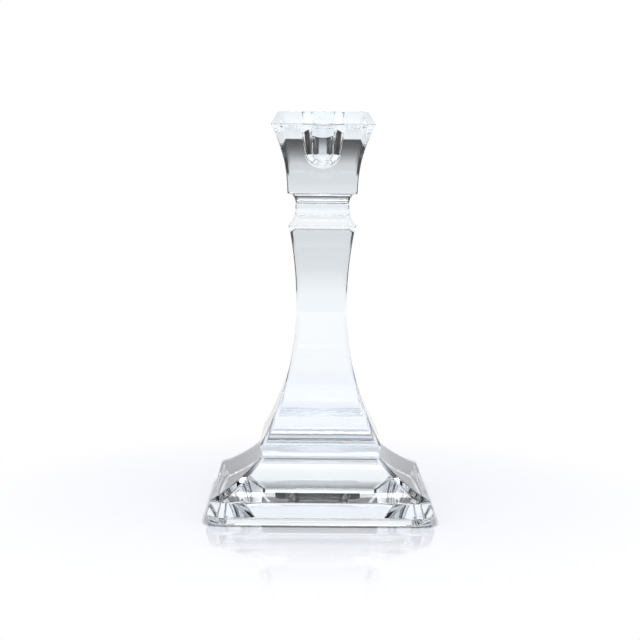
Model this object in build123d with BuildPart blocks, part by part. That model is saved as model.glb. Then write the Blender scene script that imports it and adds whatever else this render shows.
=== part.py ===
from build123d import *
import os
from math import cos, radians, sin, sqrt

os.makedirs("parts", exist_ok=True)

# A square clear-glass candlestick for one taper candle.  All sizes are in millimetres.
# The origin is the middle of the resting face.  +Z runs up the axis, and the flat sides face X and Y.
# Five pressed glass sections stand on one another, ground flat and joined face to face:
# foot, foot_collar, stem, cup_merese and candle_cup.

# Every level edge is a ring: half width across the flats, height above the table, leg of the corner cut.
cup_top = (22.2, 200.0, 2.5)
cup_rim = (26.0, 193.5, 3.4)
cup_heel = (17.6, 159.4, 1.6)
cup_base = (15.0, 159.0, 1.4)

merese_top = (15.0, 159.0, 1.4)
merese_lip = (15.0, 158.4, 1.4)
merese_waist = (13.5, 154.9, 1.3)
merese_base = (13.1, 154.5, 1.2)

neck_top = (13.1, 154.5, 1.2)
neck_ledge = (13.5, 154.1, 1.3)
neck_waist = (13.5, 152.0, 1.3)
arris = (17.1, 143.6, 2.3)
shoulder = (16.6, 142.4, 1.9)
stem_waist = (12.75, 102.5, 1.7)
stem_base = (30.4, 34.2, 1.5)

collar_top = (30.4, 34.2, 1.5)
collar_base = (29.8, 28.2, 1.2)

foot_top = (29.8, 28.2, 1.2)
plinth_top = (53.6, 11.1, 5.1)
plinth_edge = (55.9, 3.6, 5.8)
plinth_base = (53.7, 0.0, 5.0)
slope_sag = 1.4  # how far the foot's slope dips below a straight line

# Candle socket: a short parallel mouth, a taper, and a round bottom
socket_mouth_radius = 11.2
socket_land = 4.0
socket_taper_end_radius = 9.25
socket_taper_end_depth = 19.7
socket_depth = 27.0

# Shallow square recess pressed into the underside, so that only the rim round it rests on the table
recess_width = 95.2
recess_corner_radius = 7.8
recess_depth = 1.3
recess_draft = 38  # lean of the recess's wall, in degrees from upright

UP = (0, 1)
DOWN = (0, -1)


def point(ring, across_corners):
    """Where the ring crosses the outline, seen square on or along a diagonal."""
    half_width, height, corner_cut = ring
    if across_corners:
        return ((2 * half_width - corner_cut) / sqrt(2), height)
    return (half_width, height)


def on_axis(ring):
    """The ring's centre."""
    return (0, ring[1])


def square_turned(draw_outline, reach):
    """Keep what lies inside the outline, seen from the front, from the side and along both diagonals."""
    for turn in (0, 45, 90, 135):
        across_corners = turn in (45, 135)
        right = (cos(radians(turn)), sin(radians(turn)), 0)
        towards_viewer = (sin(radians(turn)), -cos(radians(turn)), 0)
        with BuildSketch(Plane((0, 0, 0), x_dir=right, z_dir=towards_viewer)) as outline:
            with BuildLine():
                draw_outline(across_corners)
                mirror(about=Plane.YZ)
            make_face()
        extrude(outline.sketch, amount=reach, both=True, mode=Mode.ADD if turn == 0 else Mode.INTERSECT)


def cup_outline(across_corners):
    top, rim, heel, base = [point(ring, across_corners) for ring in (cup_top, cup_rim, cup_heel, cup_base)]
    Line(on_axis(cup_base), base)
    Line(base, heel)
    TangentArc(heel, rim, tangent=UP)
    Line(rim, top)
    Line(top, on_axis(cup_top))


def merese_outline(across_corners):
    base, waist = [point(ring, across_corners) for ring in (merese_base, merese_waist)]
    lip, top = [point(ring, across_corners) for ring in (merese_lip, merese_top)]
    Polyline(on_axis(merese_base), base, waist)
    TangentArc(waist, lip, tangent=UP)
    Polyline(lip, top, on_axis(merese_top))


def stem_outline(across_corners):
    base, waist, turn_in = [point(ring, across_corners) for ring in (stem_base, stem_waist, shoulder)]
    edge, neck = [point(ring, across_corners) for ring in (arris, neck_waist)]
    ledge, top = [point(ring, across_corners) for ring in (neck_ledge, neck_top)]
    Line(on_axis(stem_base), base)
    TangentArc(waist, base, tangent=DOWN)
    TangentArc(waist, turn_in, tangent=UP)
    Line(turn_in, edge)
    TangentArc(neck, edge, tangent=DOWN)
    Polyline(neck, ledge, top, on_axis(neck_top))


def collar_outline(across_corners):
    edge = [point(ring, across_corners) for ring in (collar_base, collar_top)]
    Polyline(on_axis(collar_base), *edge, on_axis(collar_top))


def foot_outline(across_corners):
    rings = (plinth_base, plinth_edge, plinth_top, foot_top)
    base, edge, shelf, top = [point(ring, across_corners) for ring in rings]
    Polyline(on_axis(plinth_base), base, edge, shelf)
    SagittaArc(shelf, top, slope_sag)
    Line(top, on_axis(foot_top))


def socket_section():
    """Half of the candle socket's section, from the round bottom to the mouth."""
    mouth_height = cup_top[1]
    bottom = (0, mouth_height - socket_depth)
    taper_end = (socket_taper_end_radius, mouth_height - socket_taper_end_depth)
    land_end = (socket_mouth_radius, mouth_height - socket_land)
    mouth = (socket_mouth_radius, mouth_height)
    TangentArc(bottom, taper_end, tangent=(1, 0))
    Polyline(taper_end, land_end, mouth, on_axis(cup_top), bottom)


with BuildPart() as candle_cup:
    square_turned(cup_outline, 2 * cup_rim[0])
    with BuildSketch(Plane.XZ):
        with BuildLine():
            socket_section()
        make_face()
    revolve(axis=Axis.Z, mode=Mode.SUBTRACT)

with BuildPart() as cup_merese:
    square_turned(merese_outline, 2 * merese_lip[0])

with BuildPart() as stem:
    square_turned(stem_outline, 2 * stem_base[0])

with BuildPart() as foot_collar:
    square_turned(collar_outline, 2 * collar_top[0])

with BuildPart() as foot:
    square_turned(foot_outline, 2 * plinth_edge[0])
    with BuildSketch(Plane.XY) as recess:
        RectangleRounded(recess_width, recess_width, recess_corner_radius)
    extrude(recess.sketch, amount=recess_depth, taper=recess_draft, mode=Mode.SUBTRACT)

candle_cup.part.label = "candle_cup"
cup_merese.part.label = "cup_merese"
stem.part.label = "stem"
foot_collar.part.label = "foot_collar"
foot.part.label = "foot"

export_step(candle_cup.part, "parts/candle_cup.step")
export_step(cup_merese.part, "parts/cup_merese.step")
export_step(stem.part, "parts/stem.step")
export_step(foot_collar.part, "parts/foot_collar.step")
export_step(foot.part, "parts/foot.step")
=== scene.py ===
import math

import bpy
from mathutils import Matrix, Vector


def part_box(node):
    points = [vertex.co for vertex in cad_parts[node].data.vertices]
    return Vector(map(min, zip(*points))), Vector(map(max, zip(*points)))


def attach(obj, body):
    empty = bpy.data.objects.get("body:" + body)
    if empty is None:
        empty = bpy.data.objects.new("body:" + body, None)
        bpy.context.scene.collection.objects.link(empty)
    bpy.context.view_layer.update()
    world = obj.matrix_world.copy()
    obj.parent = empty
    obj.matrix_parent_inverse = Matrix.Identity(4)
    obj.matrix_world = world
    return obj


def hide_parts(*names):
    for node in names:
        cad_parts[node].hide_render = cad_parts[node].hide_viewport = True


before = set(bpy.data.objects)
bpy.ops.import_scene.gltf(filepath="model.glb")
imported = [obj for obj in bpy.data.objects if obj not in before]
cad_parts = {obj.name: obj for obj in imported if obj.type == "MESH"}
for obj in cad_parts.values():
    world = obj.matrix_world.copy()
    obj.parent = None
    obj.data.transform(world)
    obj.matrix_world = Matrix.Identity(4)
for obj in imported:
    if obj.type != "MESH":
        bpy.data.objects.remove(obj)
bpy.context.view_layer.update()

# The glass and the camera are described in millimetres, and the studio around them in metres.
MM = 0.001


# ---------------------------------------------------------------- sizes of the glass

cup_low, cup_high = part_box("candle_cup")
stem_low, stem_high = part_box("stem")
_, foot_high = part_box("foot")

# Heights of the top and of the joints.
TOP = cup_high.z / MM
CUP_JOINT = cup_low.z / MM
NECK_JOINT = stem_high.z / MM
STEM_JOINT = stem_low.z / MM
FOOT_JOINT = foot_high.z / MM

# Half widths of the rim, of the stem's lower end and of the plinth.
RIM = cup_high.x / MM
SPREAD = stem_high.x / MM
PLINTH = foot_high.x / MM

POLISH = 0.5  # how far the level edges are rounded on each side
SHARP = 0.0  # joint edges, ground flat
EASE = 0.2  # how far the stem's lower end stands inside the half width that the frame gives
STEM_LAND = 0.4  # height of the upright stretch below the stem's flare

# Level edges from the bottom up, as rings: half width across the flats, height, leg of the corner cut,
# radius of the upright edges, and rounding of the level edge itself.
plinth_base = (53.7, 0.0, 5.0, 2.0, 0.5)
plinth_edge = (PLINTH, 3.6, 5.8, 2.4, 0.9)
plinth_top = (53.6, 11.1, 5.1, 2.0, 0.8)
foot_top = (29.8, FOOT_JOINT, 1.2, 1.8, SHARP)
recess_edge = (47.6, 0.0, 4.6, 7.6, 0.3)
recess_wall = (46.6, 1.3, 4.0, 6.6, 0.3)
SLOPE_SAG = 1.4

collar_base = foot_top
collar_top = (SPREAD - EASE, STEM_JOINT, 1.5, 2.2, SHARP)

stem_base = collar_top
stem_edge = (SPREAD - EASE, STEM_JOINT + STEM_LAND, 1.5, 2.2, 0.35)
stem_waist = (12.75, 102.5, 1.7, 2.7, SHARP)
shoulder = (16.6, 142.4, 1.9, 2.8, 0.4)
arris = (17.1, 143.6, 2.3, 2.6, 0.4)
neck_waist = (13.5, 152.0, 1.3, 2.2, SHARP)
neck_ledge = (13.5, 154.1, 1.3, 2.1, 0.1)
neck_top = (13.1, NECK_JOINT, 1.2, 2.0, SHARP)

merese_base = neck_top
merese_waist = (13.5, 154.9, 1.3, 2.1, 0.1)
merese_lip = (15.0, 158.4, 1.4, 2.2, 0.2)
merese_top = (15.0, CUP_JOINT, 1.4, 2.2, SHARP)

cup_base = merese_top
cup_heel = (17.6, 159.4, 1.6, 2.6, 0.4)
cup_rim = (RIM, 193.5, 3.4, 3.0, POLISH)
cup_top = (22.2, TOP, 2.5, 1.6, POLISH)

SOCKET_MOUTH_RADIUS = 11.2
SOCKET_LIP = 0.6  # radius of the rounded mouth
SOCKET_LAND = 4.0  # depth of the parallel stretch
SOCKET_BLEND = 0.8  # how far from its lower edge the land starts and ends turning into the taper
SOCKET_TAPER_RADIUS = 9.25
SOCKET_TAPER_DEPTH = 19.7
SOCKET_DEPTH = 27.0

# How finely the curves are cut into facets.
EDGE_STEPS = 5
ROUND_STEPS = 6
DOME_STEPS = 24
CIRCLE_STEPS = 96
ARC_STEP = 1.2  # length of one facet along a bowed link
SMOOTH_TURN = 0.2  # two links that meet at less than this change of direction share one ring


# ---------------------------------------------------------------- outlines

def tangent_bow(upright, far):
    """Height of the bow of an arc that leaves the first ring straight up or down and ends at the second."""
    across = far[0] - upright[0]
    along = far[1] - upright[1]
    half_turn = math.atan2(abs(across), abs(along)) / 2
    return math.hypot(across, along) / 2 * math.tan(half_turn)


def link(start, end, bow):
    """Stations with their directions, along a line or an arc from ring to ring.

    A station holds a ring's first four numbers. A bow above 0 bends the link towards the axis.
    """
    low, high = Vector(start[:4]), Vector(end[:4])
    across, along = high[0] - low[0], high[1] - low[1]
    length = math.hypot(across, along)
    cut_slope, edge_slope = (high[2] - low[2]) / length, (high[3] - low[3]) / length
    heading = math.atan2(along, across)
    half_turn = 2 * math.atan2(2 * bow, length)
    steps = max(1, round(length / ARC_STEP)) if bow else 1
    stations = []
    for i in range(steps + 1):
        share = i / steps
        turned, chordwise, sideways = 0.0, length * share, 0.0
        if bow:
            radius = length / (2 * math.sin(half_turn))
            turned = half_turn * (2 * share - 1)
            chordwise = radius * (math.sin(turned) + math.sin(half_turn))
            sideways = radius * (math.cos(turned) - math.cos(half_turn))
        half_width = low[0] + chordwise * math.cos(heading) - sideways * math.sin(heading)
        height = low[1] + chordwise * math.sin(heading) + sideways * math.cos(heading)
        corner_cut = low[2] + cut_slope * length * share
        edge = low[3] + edge_slope * length * share
        direction = heading - turned
        stations.append((Vector((half_width, height, corner_cut, edge)),
                         Vector((math.cos(direction), math.sin(direction), cut_slope, edge_slope))))
    return stations


def trimmed(stations, at_start, at_end):
    """The stations of a link with a length cut off each end, so that the edge there can be rounded."""
    def cut(run, amount):
        while len(run) > 2 and (run[1][0] - run[0][0]).length < amount:
            run = run[1:]
        (first, heading), (second, next_heading) = run[0], run[1]
        share = amount / (second - first).length
        return [(first.lerp(second, share), heading.lerp(next_heading, share))] + run[1:]

    if at_start:
        stations = cut(stations, at_start)
    if at_end:
        stations = cut(stations[::-1], at_end)[::-1]
    return stations


def rounding(before, corner, after, steps):
    """The first stations, after its start, of the small curve that turns an edge."""
    run = []
    for i in range(1, steps + 1):
        t = i / ROUND_STEPS
        point = (1 - t) ** 2 * before + 2 * t * (1 - t) * corner + t * t * after
        run.append((point, (1 - t) * (corner - before) + t * (after - corner)))
    return run


def outline(rings, bows):
    """Every station from the lowest ring to the highest, with the level edges rounded."""
    cuts = [0.0] + [ring[4] for ring in rings[1:-1]] + [0.0]
    links = [trimmed(link(rings[i], rings[i + 1], bow), cuts[i], cuts[i + 1]) for i, bow in enumerate(bows)]
    stations = list(links[0])
    for ring, following in zip(rings[1:], links[1:]):
        if ring[4]:
            before, after = stations[-1][0], following[0][0]
            stations += rounding(before, Vector(ring[:4]), after, ROUND_STEPS - 1) + following
        elif (stations[-1][1] - following[0][1]).length < SMOOTH_TURN:
            stations += following[1:]
        else:
            stations += following
    return stations


def round_off_top(stations):
    """Rounds the last edge over into a level face."""
    corner, direction = stations[-1]
    before = corner - direction.normalized() * POLISH
    after = corner - Vector((POLISH, 0, 0, 0))
    kept = [station for station in stations if (station[0] - corner).length > POLISH]
    return kept + [(before, direction)] + rounding(before, corner, after, ROUND_STEPS)


def round_off_bottom(stations):
    """Rounds the first edge under into a level face."""
    def reversed_run(run):
        return [(point, -direction) for point, direction in reversed(run)]

    return reversed_run(round_off_top(reversed_run(stations)))


# ---------------------------------------------------------------- meshes

GLASS_SLOT, JOINT_SLOT = 0, 1


class Glass:
    """Collects the vertices, faces and exact normals of one closed piece.

    A ring is a list of (index of a vertex, normal there), counterclockwise as seen from above.
    """

    def __init__(self):
        self.points = []
        self.faces = []
        self.normals = []
        self.slots = []

    def add_point(self, point):
        self.points.append(point)
        return len(self.points) - 1

    def add_face(self, indices, normals, slot=GLASS_SLOT):
        self.faces.append(indices)
        self.normals.extend(normals)
        self.slots.append(slot)

    def add_corners(self, corners):
        """A face through (index, normal) pairs."""
        self.add_face([index for index, _ in corners], [normal for _, normal in corners])

    def square_ring(self, station):
        """One level ring of a square section: each of its eight edges is a short arc."""
        half_width, height, corner_cut, edge = station[0]
        width_slope, height_slope, cut_slope, edge_slope = station[1]
        tuck = math.sqrt(2) - 1
        long_side, short_side = half_width - edge, half_width - corner_cut - edge * tuck
        long_slope, short_slope = width_slope - edge_slope, width_slope - cut_slope - edge_slope * tuck
        ring = []
        for quarter in range(4):
            turn = Matrix.Rotation(math.radians(90 * quarter), 3, "Z")
            for second in (False, True):
                centre = Vector((long_side, short_side, 0))
                centre_slope = Vector((long_slope, short_slope, 0))
                if second:
                    centre, centre_slope = centre.yxz, centre_slope.yxz
                for i in range(EDGE_STEPS + 1):
                    bearing = math.radians(45 * (second + i / EDGE_STEPS))
                    facing = Vector((math.cos(bearing), math.sin(bearing), 0))
                    point = turn @ (centre + edge * facing) + Vector((0, 0, height))
                    lean = Vector((0, 0, centre_slope.dot(facing) + edge_slope))
                    ring.append((self.add_point(point), turn @ (facing * height_slope - lean)))
        return ring

    def square_rings(self, stations):
        return [self.square_ring(station) for station in stations]

    def round_ring(self, radius, height, slope):
        """One level circle; the slope is the direction of the section there, as (outward, upward)."""
        ring = []
        for i in range(CIRCLE_STEPS):
            bearing = math.tau * i / CIRCLE_STEPS
            facing = Vector((math.cos(bearing), math.sin(bearing), 0))
            point = facing * radius + Vector((0, 0, height))
            ring.append((self.add_point(point), facing * slope[1] - Vector((0, 0, slope[0]))))
        return ring

    def skin(self, rings, outward):
        """Quads between rings, which face away from the axis when the rings rise and outward is true."""
        for low, high in zip(rings, rings[1:]):
            for i in range(len(low)):
                j = (i + 1) % len(low)
                corners = [low[i], low[j], high[j], high[i]]
                self.add_corners(corners if outward else corners[::-1])

    def cap(self, ring, up, slot):
        """One level face over a ring."""
        indices = [index for index, _ in ring]
        if not up:
            indices.reverse()
        self.add_face(indices, [Vector((0, 0, 1 if up else -1))] * len(indices), slot)

    def margin(self, outer, inner):
        """A level face, looking up, between two rings, zipped together by the bearings of their edges."""
        def bearing(ring, k):
            point = self.points[ring[k % len(ring)][0]]
            return math.atan2(point.y, point.x) % math.tau + math.tau * (k // len(ring))

        def middle(ring, k):
            return bearing(ring, k) + bearing(ring, k + 1)

        def from_first_bearing(ring):
            first = min(range(len(ring)), key=lambda k: bearing(ring, k))
            return ring[first:] + ring[:first]

        outer, inner = from_first_bearing(outer), from_first_bearing(inner)
        i = j = 0
        while i < len(outer) or j < len(inner):
            out, back = outer[i % len(outer)][0], inner[j % len(inner)][0]
            if j >= len(inner) or (i < len(outer) and middle(outer, i) <= middle(inner, j)):
                i += 1
                following = outer[i % len(outer)][0]
            else:
                j += 1
                following = inner[j % len(inner)][0]
            self.add_face([out, following, back], [Vector((0, 0, 1))] * 3)

    def close_pole(self, ring, height):
        """A fan of triangles from a small ring to a point on the axis, looking up."""
        pole = self.add_point(Vector((0, 0, height)))
        for i in range(len(ring)):
            self.add_corners([ring[i], ring[(i + 1) % len(ring)], (pole, Vector((0, 0, 1)))])

    def finish(self, name, node, materials):
        """Writes the mesh, puts it in place of its CAD node and gives it the glass."""
        mesh = bpy.data.meshes.new(name)
        mesh.from_pydata([point * MM for point in self.points], [], self.faces)
        for material in materials:
            mesh.materials.append(material)
        for polygon, slot in zip(mesh.polygons, self.slots):
            polygon.use_smooth = True
            polygon.material_index = slot
        mesh.normals_split_custom_set([normal.normalized() for normal in self.normals])
        piece = bpy.data.objects.new(name, mesh)
        bpy.context.scene.collection.objects.link(piece)
        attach(piece, "root")
        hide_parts(node)


def flipped(rings):
    """The same rings with their normals turned round, for walls that the glass lies outside of."""
    return [[(index, -normal) for index, normal in ring] for ring in rings]


def levelled(ring):
    """The same ring with its normals straight down."""
    return [(index, Vector((0, 0, -1))) for index, _ in ring]


# ---------------------------------------------------------------- pieces

def socket_section():
    """The candle socket's section from the mouth down to just above its bottom, turning smoothly.

    Each entry is a radius, a height and the section's direction there, as (outward, upward).
    """
    land_height = TOP - SOCKET_LAND
    taper_height = TOP - SOCKET_TAPER_DEPTH
    bottom = TOP - SOCKET_DEPTH
    taper = Vector((SOCKET_MOUTH_RADIUS - SOCKET_TAPER_RADIUS, land_height - taper_height)).normalized()
    blended = taper * SOCKET_BLEND
    section = []
    for i in range(ROUND_STEPS + 1):
        angle = math.radians(90) * i / ROUND_STEPS
        radius = SOCKET_MOUTH_RADIUS + SOCKET_LIP * (1 - math.sin(angle))
        height = TOP - SOCKET_LIP * (1 - math.cos(angle))
        section.append((radius, height, (math.cos(angle), math.sin(angle))))
    section.append((SOCKET_MOUTH_RADIUS, land_height + SOCKET_BLEND, (0, 1)))
    section.append((SOCKET_MOUTH_RADIUS - blended.x, land_height - blended.y, taper))
    section.append((SOCKET_TAPER_RADIUS, taper_height, taper))
    dome_height = taper_height - bottom
    dome_radius = (SOCKET_TAPER_RADIUS ** 2 + dome_height ** 2) / (2 * dome_height)
    edge_angle = math.asin(SOCKET_TAPER_RADIUS / dome_radius)
    for i in range(1, DOME_STEPS):
        angle = edge_angle * (1 - i / DOME_STEPS)
        height = bottom + dome_radius * (1 - math.cos(angle))
        section.append((dome_radius * math.sin(angle), height, (math.cos(angle), math.sin(angle))))
    return section


def build_cup(materials):
    glass = Glass()
    stations = outline((cup_base, cup_heel, cup_rim, cup_top), (0, tangent_bow(cup_heel, cup_rim), 0))
    walls = glass.square_rings(round_off_top(stations))
    glass.skin(walls, outward=True)
    glass.cap(walls[0], False, JOINT_SLOT)
    socket = flipped([glass.round_ring(*entry) for entry in socket_section()])
    glass.margin(walls[-1], socket[0])
    glass.skin(socket, outward=True)
    glass.close_pole(socket[-1], TOP - SOCKET_DEPTH)
    glass.finish("candle_cup_glass", "candle_cup", materials)


def build_band(name, node, rings, bows, materials):
    """A section that is joined to its neighbours at the top and at the bottom."""
    glass = Glass()
    walls = glass.square_rings(outline(rings, bows))
    glass.skin(walls, outward=True)
    glass.cap(walls[0], False, JOINT_SLOT)
    glass.cap(walls[-1], True, JOINT_SLOT)
    glass.finish(name, node, materials)


def build_merese(materials):
    rings = (merese_base, merese_waist, merese_lip, merese_top)
    bows = (0, tangent_bow(merese_waist, merese_lip), 0)
    build_band("cup_merese_glass", "cup_merese", rings, bows, materials)


def build_stem(materials):
    rings = (stem_base, stem_edge, stem_waist, shoulder, arris, neck_waist, neck_ledge, neck_top)
    flare, shaft = tangent_bow(stem_waist, stem_edge), tangent_bow(stem_waist, shoulder)
    bows = (0, flare, shaft, 0, tangent_bow(neck_waist, arris), 0, 0)
    build_band("stem_glass", "stem", rings, bows, materials)


def build_collar(materials):
    build_band("foot_collar_glass", "foot_collar", (collar_base, collar_top), (0,), materials)


def build_foot(materials):
    glass = Glass()
    stations = outline((plinth_base, plinth_edge, plinth_top, foot_top), (0, 0, SLOPE_SAG))
    walls = glass.square_rings(round_off_bottom(stations))
    glass.skin(walls, outward=True)
    glass.cap(walls[-1], True, JOINT_SLOT)
    recess = flipped(glass.square_rings(round_off_top(outline((recess_edge, recess_wall), (0,)))))
    glass.skin([levelled(walls[0]), levelled(recess[0])], outward=False)
    glass.skin(recess, outward=False)
    glass.cap(recess[-1], False, GLASS_SLOT)
    glass.finish("foot_glass", "foot", materials)


# ---------------------------------------------------------------- shading

class NodeTree:
    """The nodes of a material or of the world, added and wired in short steps."""

    def __init__(self, owner):
        owner.use_nodes = True
        self.tree = owner.node_tree
        self.tree.nodes.clear()

    def feed(self, socket, value):
        """Links another socket to this one, or sets it to a number or a colour."""
        if isinstance(value, bpy.types.NodeSocket):
            self.tree.links.new(value, socket)
        else:
            socket.default_value = value

    def add(self, kind, inputs=None, **settings):
        """One node; the inputs map a socket's name or place to what feeds it."""
        node = self.tree.nodes.new("ShaderNode" + kind)
        for name, value in settings.items():
            setattr(node, name, value)
        for key, value in (inputs or {}).items():
            self.feed(node.inputs[key], value)
        return node

    def calculate(self, operation, *values, clamp=False):
        return self.add("Math", dict(enumerate(values)), operation=operation, use_clamp=clamp).outputs[0]

    def product(self, first, *others):
        for other in others:
            first = self.calculate("MULTIPLY", first, other)
        return first

    def largest(self, first, *others):
        for other in others:
            first = self.calculate("MAXIMUM", first, other)
        return first

    def smooth(self, value, start, end, to_start=0.0, to_end=1.0):
        """Goes smoothly from to_start to to_end while the value goes from start to end, up or down."""
        inputs = {"Value": value, "From Min": start, "From Max": end, "To Min": to_start, "To Max": to_end}
        return self.add("MapRange", inputs, interpolation_type="SMOOTHSTEP").outputs["Result"]

    def greys(self, place, steps):
        """Grey levels between steps of (position from 0 to 1, grey)."""
        ramp = self.add("ValToRGB", {"Fac": place})
        stops = ramp.color_ramp.elements
        for k, (position, grey) in enumerate(steps):
            stop = stops[k] if k < 2 else stops.new(position)
            stop.position = position
            stop.color = (grey, grey, grey, 1.0)
        return ramp.outputs["Color"]

    def mix(self, share, first, second):
        return self.add("MixShader", {0: share, 1: first, 2: second}).outputs[0]


# ---------------------------------------------------------------- glass

GLASS_IOR = 1.52
GLASS_TINTS = ((0.940, 0.970, 0.990, 1.0), (0.950, 0.978, 0.995, 1.0))
TINT_SCALE = 12.0
RIPPLE_SCALE = 45.0
RIPPLE_DETAIL = 1.0
RIPPLE_STRENGTH = 0.02
RIPPLE_DEPTH = 0.002


def clear_glass():
    """Colourless pressed glass with the faint ripple that fire polishing leaves."""
    material = bpy.data.materials.new("clear_glass")
    tree = NodeTree(material)
    place = tree.add("TexCoord").outputs["Object"]
    ripple = tree.add("TexNoise", {"Vector": place, "Scale": RIPPLE_SCALE, "Detail": RIPPLE_DETAIL})
    bump = tree.add("Bump", {
        "Height": ripple.outputs["Fac"], "Strength": RIPPLE_STRENGTH, "Distance": RIPPLE_DEPTH,
    })
    tint = tree.add("TexNoise", {"Vector": place, "Scale": TINT_SCALE})
    ramp = tree.add("ValToRGB", {"Fac": tint.outputs["Fac"]})
    for stop, colour in zip(ramp.color_ramp.elements, GLASS_TINTS):
        stop.color = colour
    shader = tree.add("BsdfPrincipled", {
        "Base Color": ramp.outputs["Color"], "Transmission Weight": 1.0, "Roughness": 0.0,
        "IOR": GLASS_IOR, "Normal": bump.outputs["Normal"],
    })
    tree.add("OutputMaterial", {"Surface": shader.outputs["BSDF"]})
    return material


def joint_film():
    """The cemented joint between two sections, which light passes straight through."""
    material = bpy.data.materials.new("joint_film")
    tree = NodeTree(material)
    tree.add("OutputMaterial", {"Surface": tree.add("BsdfTransparent").outputs["BSDF"]})
    return material


# ---------------------------------------------------------------- studio floor

WHITE = (1.0, 1.0, 1.0, 1.0)

FLOOR_RADIUS = 0.8
FLOOR_STEPS = 64
FLOOR_GAP = 0.00005  # keeps the floor just clear of the glass

# The card that the foot stands on. It glows, and most under the middle, where a painted pool of light stands
# for the light that the glass gathers.
CARD_RADIUS = 0.21
CARD_FADE = 0.3  # share of the radius at which the card starts to fade into the plain ground
CARD_WHITE = (0.44, 0.44, 0.46, 1.0)
CARD_GLOW = (0.57, 0.585, 0.63, 1.0)
CARD_POOL_OF_LIGHT = 1.35
POOL_OF_LIGHT_REACH = (0.040, 0.028)  # distances from the axis at which the painted pool of light starts and is full
CARD_IOR = 1.5
CARD_SHEEN = 1.8
CARD_ROUGHNESS = 0.08

# Thin lines of shade on the card, where the inner and outer edges of the resting rim meet it, as
# half width of the square in millimetres, and brightness.
RIM_SHADE = (
    (46.8, 1.0), (47.6, 0.2), (48.8, 0.2), (49.6, 1.0),
    (54.4, 1.0), (55.2, 0.15), (56.6, 0.15), (58.4, 1.0),
)
RIM_SQUARENESS = 14.0  # power of the superellipse that the lines follow


def rim_shade(tree, place):
    """Shade on the card along both edges of the resting rim; 1 is unshaded."""
    # A superellipse gives every place the half width of the rounded square that passes through it.
    across, along, _ = tree.add("SeparateXYZ", {0: place}).outputs
    powers = []
    for side in (across, along):
        share = tree.calculate("DIVIDE", tree.calculate("ABSOLUTE", side), PLINTH * MM)
        powers.append(tree.calculate("POWER", share, RIM_SQUARENESS))
    squarely_out = tree.calculate("POWER", tree.calculate("ADD", *powers), 1.0 / RIM_SQUARENESS)
    start, end = RIM_SHADE[0][0], RIM_SHADE[-1][0]
    past_start = tree.calculate("SUBTRACT", squarely_out, start / PLINTH)
    steps = [((half_width - start) / (end - start), grey) for half_width, grey in RIM_SHADE]
    return tree.greys(tree.product(past_start, PLINTH / (end - start)), steps)


def floor_material():
    """Glossy white card, which fades into the plain background before its edge."""
    material = bpy.data.materials.new("studio_floor")
    tree = NodeTree(material)
    place = tree.add("TexCoord").outputs["Object"]
    reach = tree.add("VectorMath", {0: place}, operation="LENGTH").outputs["Value"]
    shade = rim_shade(tree, place)
    # Painted pool of light: the card's glow is made brighter under the middle of the glass.
    pooled_light = tree.smooth(reach, *POOL_OF_LIGHT_REACH, 1.0, CARD_POOL_OF_LIGHT)
    glow = tree.add("Emission", {"Color": CARD_GLOW, "Strength": tree.product(pooled_light, shade)})
    white = tree.add("VectorMath", {0: CARD_WHITE[:3], "Scale": shade}, operation="SCALE")
    matt = tree.add("BsdfDiffuse", {"Color": white.outputs["Vector"]})
    body = tree.add("AddShader", {0: glow.outputs[0], 1: matt.outputs[0]})
    gloss = tree.add("BsdfGlossy", {"Roughness": CARD_ROUGHNESS})
    facing = tree.add("Fresnel", {"IOR": CARD_IOR}).outputs["Fac"]
    sheen = tree.calculate("MULTIPLY", facing, CARD_SHEEN, clamp=True)
    card = tree.mix(sheen, body.outputs[0], gloss.outputs[0])
    plain = tree.add("Emission", {"Color": WHITE}).outputs[0]
    faded = tree.mix(tree.smooth(reach, CARD_RADIUS * CARD_FADE, CARD_RADIUS), card, plain)
    tree.add("OutputMaterial", {"Surface": faded})
    return material


def add_sheet(name, corners, material):
    """One flat sheet of the studio."""
    mesh = bpy.data.meshes.new(name)
    mesh.from_pydata(corners, [], [tuple(range(len(corners)))])
    mesh.materials.append(material)
    sheet = bpy.data.objects.new(name, mesh)
    bpy.context.scene.collection.objects.link(sheet)
    return sheet


def build_floor():
    corners = []
    for i in range(FLOOR_STEPS):
        bearing = math.tau * i / FLOOR_STEPS
        corners.append((FLOOR_RADIUS * math.cos(bearing), FLOOR_RADIUS * math.sin(bearing), 0))
    floor = add_sheet("studio_floor", corners, floor_material())
    floor.location.z = -FLOOR_GAP


# ---------------------------------------------------------------- studio surroundings

# Brightness of the screens by elevation in degrees: white below, grey above eye level, dark at the ceiling.
SCREEN_STEPS = (
    (-90, 0.96), (-5, 0.96), (0, 0.80), (10, 0.73), (14, 0.64),
    (17, 0.43), (20, 0.24), (24, 0.12), (34, 0.05),
)
# The screens stand in front and behind, wide at eye level and narrow above. Each pair gives where an edge
# starts to show and where it is full: sides in degrees, the wide screen's top and the horizon as sines of the
# elevation.
WIDE_SCREEN = (36, 31)
TALL_SCREEN = (22, 18)
WIDE_SCREEN_TOP = (0.22, 0.14)
HORIZON = (-0.01, -0.05)
SIDE_GREY = 0.012

# The main softbox hangs behind and above, with a softly glowing lower edge. Its steps give its share of the
# full brightness by elevation in degrees, and its sides are in degrees.
BACK_BOX = 12.0
BACK_BOX_STEPS = (
    (52, 0.0), (55, 0.10), (60, 0.14), (62, 0.26),
    (68.5, 0.30), (69.5, 1.0), (73, 1.0), (74, 0.0),
)
BACK_BOX_SIDES = (50, 45)

# A weaker one hangs overhead. Its sides are elevations in degrees. Its front and back edges are given by how
# far a direction of length 1 points back.
ROOF_BOX = 4.5
ROOF_SIDES = (69, 74)
ROOF_BACK = (0.13, 0.07)
ROOF_FRONT = (-0.177, -0.153)

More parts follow.
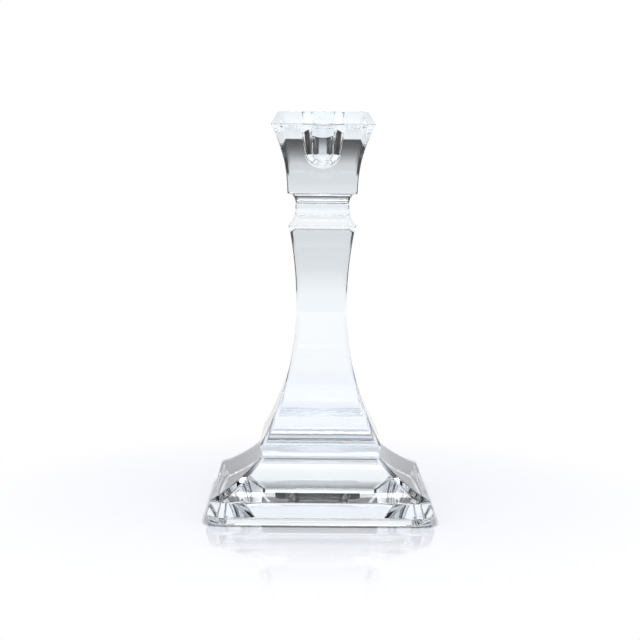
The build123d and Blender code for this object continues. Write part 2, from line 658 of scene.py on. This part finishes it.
# The weakest hangs above the camera, where the bevel of the cup's rim mirrors it. Its edges are in degrees.
FRONT_BOX = 3.0
FRONT_BOX_LOWER = (60, 61.5)
FRONT_BOX_UPPER = (65, 63.5)
FRONT_BOX_SIDES = (8, 5)

STUDIO_TINT = (0.97, 0.99, 1.015, 1.0)  # colour of the light that reaches the glass
MIRRORED_TINT = (0.93, 0.94, 0.985, 1.0)  # the screen behind, where it is mirrored
FILL = 1.14  # brightness of the studio for the matt card

# The screen behind is a real sheet. Its grey steps are placed by their elevation as seen from the cup.
BACKDROP_DISTANCE = 2.28
BACKDROP_EYE = 0.18
BACKDROP_LOW = -0.3
BACKDROP_HIGH = 1.9
BACKDROP_HALF_WIDTH = 0.85

SMALLEST_REACH = 0.0001  # keeps the division by the level part of a direction safe straight up and down


def shown_by_ray(tree, kind, strength, pale_in_mirrors=False):
    """Plain white to the camera, even light to the matt card, and the studio to the glass.

    With pale_in_mirrors, a surface that mirrors this directly sees one pale tint.
    """
    ray = tree.add("LightPath").outputs

    def layer(below, share, colour, level):
        return tree.mix(share, below, tree.add(kind, {"Color": colour, "Strength": level}).outputs[0])

    shown = tree.add(kind, {"Color": STUDIO_TINT, "Strength": strength}).outputs[0]
    shown = layer(shown, ray["Is Diffuse Ray"], WHITE, FILL)
    if pale_in_mirrors:
        # Rays that have passed smooth glass count as glossy too, and are taken out again.
        mirrored = tree.calculate("SUBTRACT", ray["Is Glossy Ray"], ray["Is Transmission Ray"], clamp=True)
        shown = layer(shown, mirrored, MIRRORED_TINT, 1.0)
    return layer(shown, ray["Is Camera Ray"], WHITE, 1.0)


def cosines(angles):
    return [math.cos(math.radians(angle)) for angle in angles]


def sines(angles):
    return [math.sin(math.radians(angle)) for angle in angles]


def build_world():
    """White ground, screens in front and behind, black card at the sides and three softboxes."""
    world = bpy.data.worlds.new("studio")
    bpy.context.scene.world = world
    tree = NodeTree(world)
    x, y, z = tree.add("SeparateXYZ", {0: tree.add("TexCoord").outputs["Generated"]}).outputs
    elevation = tree.calculate("ADD", tree.calculate("DIVIDE", tree.calculate("ARCSINE", z), math.pi), 0.5)

    def by_elevation(steps):
        return tree.greys(elevation, [(degrees / 180 + 0.5, grey) for degrees, grey in steps])

    level_squared = tree.calculate("ADD", tree.product(x, x), tree.product(y, y))
    level = tree.largest(tree.calculate("SQRT", level_squared), SMALLEST_REACH)
    towards_back = tree.calculate("DIVIDE", y, level)
    towards_front = tree.product(towards_back, -1.0)
    towards_either = tree.calculate("ABSOLUTE", towards_back)

    wide = tree.smooth(towards_either, *cosines(WIDE_SCREEN))
    wide = tree.product(wide, tree.smooth(z, *WIDE_SCREEN_TOP))
    tall = tree.smooth(towards_either, *cosines(TALL_SCREEN))
    lit_part = tree.largest(wide, tall, tree.smooth(z, *HORIZON))
    surround = tree.largest(tree.product(lit_part, by_elevation(SCREEN_STEPS)), SIDE_GREY)

    back_box = tree.product(by_elevation(BACK_BOX_STEPS), BACK_BOX,
                            tree.smooth(towards_back, *cosines(BACK_BOX_SIDES)))
    roof_box = tree.product(tree.smooth(z, *sines(ROOF_SIDES)), ROOF_BOX,
                            tree.smooth(y, *ROOF_BACK), tree.smooth(y, *ROOF_FRONT))
    front_box = tree.product(tree.smooth(towards_front, *cosines(FRONT_BOX_SIDES)), FRONT_BOX,
                             tree.smooth(z, *sines(FRONT_BOX_LOWER)),
                             tree.smooth(z, *sines(FRONT_BOX_UPPER)))

    strength = tree.calculate("ADD", surround, tree.largest(back_box, roof_box, front_box))
    tree.add("OutputWorld", {"Surface": shown_by_ray(tree, "Background", strength)})


def backdrop_material():
    material = bpy.data.materials.new("backdrop")
    tree = NodeTree(material)
    height = tree.add("SeparateXYZ", {0: tree.add("TexCoord").outputs["Object"]}).outputs["Z"]
    share = tree.add("MapRange", {"Value": height, "From Min": BACKDROP_LOW, "From Max": BACKDROP_HIGH})
    steps = []
    for degrees, grey in SCREEN_STEPS[1:]:
        level = BACKDROP_EYE + BACKDROP_DISTANCE * math.tan(math.radians(degrees))
        steps.append(((level - BACKDROP_LOW) / (BACKDROP_HIGH - BACKDROP_LOW), grey))
    greys = tree.greys(share.outputs["Result"], steps)
    tree.add("OutputMaterial", {"Surface": shown_by_ray(tree, "Emission", greys, pale_in_mirrors=True)})
    return material


def build_backdrop():
    """The screen behind, a real sheet, so that the foot sees it from lower down than the cup does."""
    left, right = -BACKDROP_HALF_WIDTH, BACKDROP_HALF_WIDTH
    corners = [
        (left, BACKDROP_DISTANCE, BACKDROP_LOW), (right, BACKDROP_DISTANCE, BACKDROP_LOW),
        (right, BACKDROP_DISTANCE, BACKDROP_HIGH), (left, BACKDROP_DISTANCE, BACKDROP_HIGH),
    ]
    add_sheet("backdrop", corners, backdrop_material())


# ---------------------------------------------------------------- camera

# Millimetres and degrees. The camera stands a little way round the axis and looks a little to the left of it.
CAMERA_DISTANCE = 753.5
CAMERA_HEIGHT = 172.9
CAMERA_ORBIT = 0.51
CAMERA_AIM = 0.047
CAMERA_PITCH = 5.94
CAMERA_ROLL = 0.49
CAMERA_LENS = 82.95
CAMERA_SENSOR = 36.0


def build_camera():
    camera = bpy.data.cameras.new("camera")
    camera.lens = CAMERA_LENS
    camera.sensor_width = CAMERA_SENSOR
    holder = bpy.data.objects.new("camera", camera)
    orbit = math.radians(CAMERA_ORBIT)
    across, along = -math.sin(orbit) * CAMERA_DISTANCE, -math.cos(orbit) * CAMERA_DISTANCE
    spot = Vector((across, along, CAMERA_HEIGHT))
    turn = (Matrix.Rotation(math.radians(CAMERA_AIM) - orbit, 4, "Z")
            @ Matrix.Rotation(math.radians(90 - CAMERA_PITCH), 4, "X")
            @ Matrix.Rotation(math.radians(CAMERA_ROLL), 4, "Z"))
    holder.matrix_world = Matrix.Translation(spot * MM) @ turn
    bpy.context.scene.collection.objects.link(holder)
    bpy.context.scene.camera = holder


LIGHT_BOUNCES = 32  # enough for light to leave the solid glass
MIRROR_BOUNCES = 16


def build_look():
    scene = bpy.context.scene
    scene.view_settings.view_transform = "Standard"
    scene.cycles.max_bounces = LIGHT_BOUNCES
    scene.cycles.transmission_bounces = LIGHT_BOUNCES
    scene.cycles.transparent_max_bounces = LIGHT_BOUNCES
    scene.cycles.glossy_bounces = MIRROR_BOUNCES


glass_materials = [clear_glass(), joint_film()]
for build in (build_cup, build_merese, build_stem, build_collar, build_foot):
    build(glass_materials)
build_floor()
build_backdrop()
build_world()
build_camera()
build_look()
